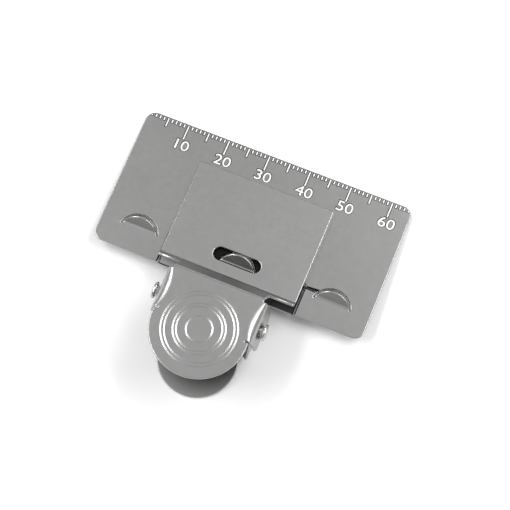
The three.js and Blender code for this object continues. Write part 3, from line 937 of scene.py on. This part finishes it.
def shade_towards(material, centre, inner, outer, dark, light):
    """Paints shade into a metal round a place, from dark within the inner distance to light at the outer.
    """
    tree = material.node_tree
    shader = tree.nodes["Principled BSDF"]
    tone = shader.inputs["Base Color"].links[0].from_socket
    place = tree.nodes.new("ShaderNodeTexCoord")
    away = tree.nodes.new("ShaderNodeVectorMath")
    away.operation = "DISTANCE"
    away.inputs[1].default_value = centre
    tree.links.new(place.outputs["Object"], away.inputs[0])
    reach = tree.nodes.new("ShaderNodeMapRange")
    reach.inputs["From Min"].default_value = inner
    reach.inputs["From Max"].default_value = outer
    reach.inputs["To Min"].default_value = dark
    reach.inputs["To Max"].default_value = light
    tree.links.new(away.outputs["Value"], reach.inputs["Value"])
    scaled = tree.nodes.new("ShaderNodeVectorMath")
    scaled.operation = "SCALE"
    tree.links.new(tone, scaled.inputs[0])
    tree.links.new(reach.outputs["Result"], scaled.inputs["Scale"])
    tree.links.new(scaled.outputs["Vector"], shader.inputs["Base Color"])


def metal(name, colour, roughness, grain=0.04, bump=0.05, scale=900.0, stretch=(1, 1, 1)):
    """Satin metal: fine grain in its roughness and surface, and slow changes of tone."""
    material = bpy.data.materials.new(name)
    material.use_nodes = True
    tree = material.node_tree
    shader = tree.nodes["Principled BSDF"]
    shader.inputs["Metallic"].default_value = 1.0
    place = tree.nodes.new("ShaderNodeTexCoord")
    mapping = tree.nodes.new("ShaderNodeMapping")
    mapping.inputs["Scale"].default_value = stretch
    tree.links.new(place.outputs["Object"], mapping.inputs["Vector"])
    fine = tree.nodes.new("ShaderNodeTexNoise")
    fine.inputs["Scale"].default_value = scale
    fine.inputs["Detail"].default_value = 6
    tree.links.new(mapping.outputs["Vector"], fine.inputs["Vector"])
    slow = tree.nodes.new("ShaderNodeTexNoise")
    slow.inputs["Scale"].default_value = TONE_SCALE
    slow.inputs["Detail"].default_value = 3
    tree.links.new(place.outputs["Object"], slow.inputs["Vector"])
    tone = tree.nodes.new("ShaderNodeMix")
    tone.data_type = "RGBA"
    for socket, share in zip("AB", TONE_SPREAD):
        tone.inputs[socket].default_value = (*[c * share for c in colour], 1)
    tree.links.new(slow.outputs["Fac"], tone.inputs["Factor"])
    tree.links.new(tone.outputs["Result"], shader.inputs["Base Color"])
    rough = tree.nodes.new("ShaderNodeMapRange")
    rough.inputs["To Min"].default_value = roughness - grain
    rough.inputs["To Max"].default_value = roughness + grain
    tree.links.new(fine.outputs["Fac"], rough.inputs["Value"])
    tree.links.new(rough.outputs["Result"], shader.inputs["Roughness"])
    relief = tree.nodes.new("ShaderNodeBump")
    relief.inputs["Strength"].default_value = bump
    relief.inputs["Distance"].default_value = GRAIN_RELIEF
    tree.links.new(fine.outputs["Fac"], relief.inputs["Height"])
    tree.links.new(relief.outputs["Normal"], shader.inputs["Normal"])
    return material


nickel = metal("satin_nickel", NICKEL, roughness=0.3)
nickel_front = metal("satin_nickel_front", (0.43, 0.43, 0.426), roughness=0.31)
# black painted shadow for the cuts' gaps, the part under the slot and the marks' sloping sides
cut_shadow_metal = metal("painted_cut_shadow", (0.012, 0.012, 0.012), roughness=0.5)
etched = metal("etched_marks", (0.85, 0.85, 0.84), roughness=0.55)
rivet = metal("rivet_steel", (0.52, 0.52, 0.51), roughness=0.22, scale=1500.0)
wire = metal("drawn_wire", (0.4, 0.4, 0.39), roughness=0.3, scale=700.0, stretch=(0.2, 1, 1))

# painted shade, darkest round the plate's right shoulder
shoulder_shade_nickel = metal("painted_shade_nickel", NICKEL, roughness=0.3)
shade_x, shade_y, shade_reach = SHOULDER_SHADE
shade_towards(
    shoulder_shade_nickel,
    centre=LAY @ Vector((shade_x, shade_y, 0)),
    inner=3.0 * MM,
    outer=shade_reach * MM,
    dark=0.15,
    light=1.0,
)
# darker plating and painted shade on the jaw's riser
riser_nickel = metal("riser_nickel", (0.36, 0.36, 0.356), roughness=0.33)
shade_towards(
    riser_nickel,
    centre=LAY @ Vector(RISER_SHADE),
    inner=0.0,
    outer=15 * MM,
    dark=0.36,
    light=1.0,
)
# painted shade on the rear pad, under the front lever, and on the middle stop
pad_nickel = metal("shaded_nickel", (0.4, 0.4, 0.396), roughness=0.33)
shade_towards(
    pad_nickel,
    centre=LAY @ Vector(PAD_SHADE),
    inner=7.2 * MM,
    outer=12.2 * MM,
    dark=0.24,
    light=0.95,
)

plate = ruler_plate()
for coating in (nickel, etched, shoulder_shade_nickel, pad_nickel, cut_shadow_metal):
    plate.data.materials.append(coating)
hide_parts("ruler_plate")
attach(plate, "rear")

jaw = front_jaw_lever()
for coating in (nickel_front, etched, riser_nickel):
    jaw.data.materials.append(coating)
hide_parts("front_jaw_lever")
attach(jaw, "front")

pin = pivot_pin()
pin.data.materials.append(rivet)
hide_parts("pivot_pin")
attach(pin, "rear")

spring = torsion_spring()
spring.data.materials.append(wire)
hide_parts("torsion_spring")
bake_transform(spring)

# ---- stage --------------------------------------------------------------------------------------

VIEW_AZIMUTH = math.radians(-58.81)
VIEW_ELEVATION = math.radians(76.437)
VIEW_ROLL = math.radians(9.27)
VIEW_DISTANCE = 379 * MM
VIEW_AIM = Vector((3.612, 5.287, 5.0)) * MM
VIEW_LENS = 120.19
VIEW_NEAREST = 0.01

FLOOR_SIZE = 3
PAPER = (0.93, 0.93, 0.93, 1)
PAPER_ROUGHNESS = 0.9
BOX_DISTANCE = 0.6
BOX_WATTS = 2.2
BOX_ELEVATION = math.radians(50)
HORIZON_LIGHT = 0.3
SKY_LIGHT = 0.55
SKY_HEIGHT = 0.5  # the sine of the elevation from which the sky is evenly bright


def direction(azimuth, elevation):
    """The unit vector towards that azimuth and elevation."""
    flat_reach = math.cos(elevation)
    return Vector((flat_reach * math.cos(azimuth), flat_reach * math.sin(azimuth), math.sin(elevation)))


def place_facing(holder, away, roll=0.0):
    """Turns a camera or lamp to look along -away, and links it."""
    holder.rotation_mode = "QUATERNION"
    holder.rotation_quaternion = (-away).to_track_quat("-Z", "Y") @ Quaternion((0, 0, 1), roll)
    bpy.context.scene.collection.objects.link(holder)


camera_data = bpy.data.cameras.new("camera")
camera_data.sensor_width = 36
camera_data.lens = VIEW_LENS
camera_data.clip_start = VIEW_NEAREST
camera = bpy.data.objects.new("camera", camera_data)
towards_camera = direction(VIEW_AZIMUTH, VIEW_ELEVATION)
camera.location = VIEW_AIM + towards_camera * VIEW_DISTANCE
place_facing(camera, towards_camera, -VIEW_ROLL)
bpy.context.scene.camera = camera

bpy.ops.mesh.primitive_plane_add(size=FLOOR_SIZE)
floor = bpy.context.object
floor.name = "floor"
paper = bpy.data.materials.new("paper")
paper.use_nodes = True
paper_shader = paper.node_tree.nodes["Principled BSDF"]
paper_shader.inputs["Base Color"].default_value = PAPER
paper_shader.inputs["Roughness"].default_value = PAPER_ROUGHNESS
floor.data.materials.append(paper)


def softbox(name, azimuth, width, height):
    """A rectangular lamp that faces the clip."""
    lamp = bpy.data.lights.new(name, "AREA")
    lamp.shape = "RECTANGLE"
    lamp.size, lamp.size_y = width, height
    lamp.energy = BOX_WATTS
    holder = bpy.data.objects.new(name, lamp)
    away = direction(math.radians(azimuth), BOX_ELEVATION)
    holder.location = away * BOX_DISTANCE
    place_facing(holder, away)


softbox("key_box", azimuth=42, width=0.6, height=0.16)
softbox("fill_box", azimuth=186, width=0.5, height=0.16)

world = bpy.data.worlds.new("studio")
bpy.context.scene.world = world
world.use_nodes = True
nodes, links = world.node_tree.nodes, world.node_tree.links
place = nodes.new("ShaderNodeTexCoord")
split = nodes.new("ShaderNodeSeparateXYZ")
ramp = nodes.new("ShaderNodeValToRGB")
links.new(place.outputs["Generated"], split.inputs["Vector"])
links.new(split.outputs["Z"], ramp.inputs["Fac"])
links.new(ramp.outputs["Color"], nodes["Background"].inputs["Color"])
horizon, sky = ramp.color_ramp.elements
horizon.position = 0.0
horizon.color = (HORIZON_LIGHT, HORIZON_LIGHT, HORIZON_LIGHT, 1)
sky.position = SKY_HEIGHT
sky.color = (SKY_LIGHT, SKY_LIGHT, SKY_LIGHT, 1)
nodes["Background"].inputs["Strength"].default_value = 1.0
bpy.context.scene.view_settings.view_transform = "Standard"
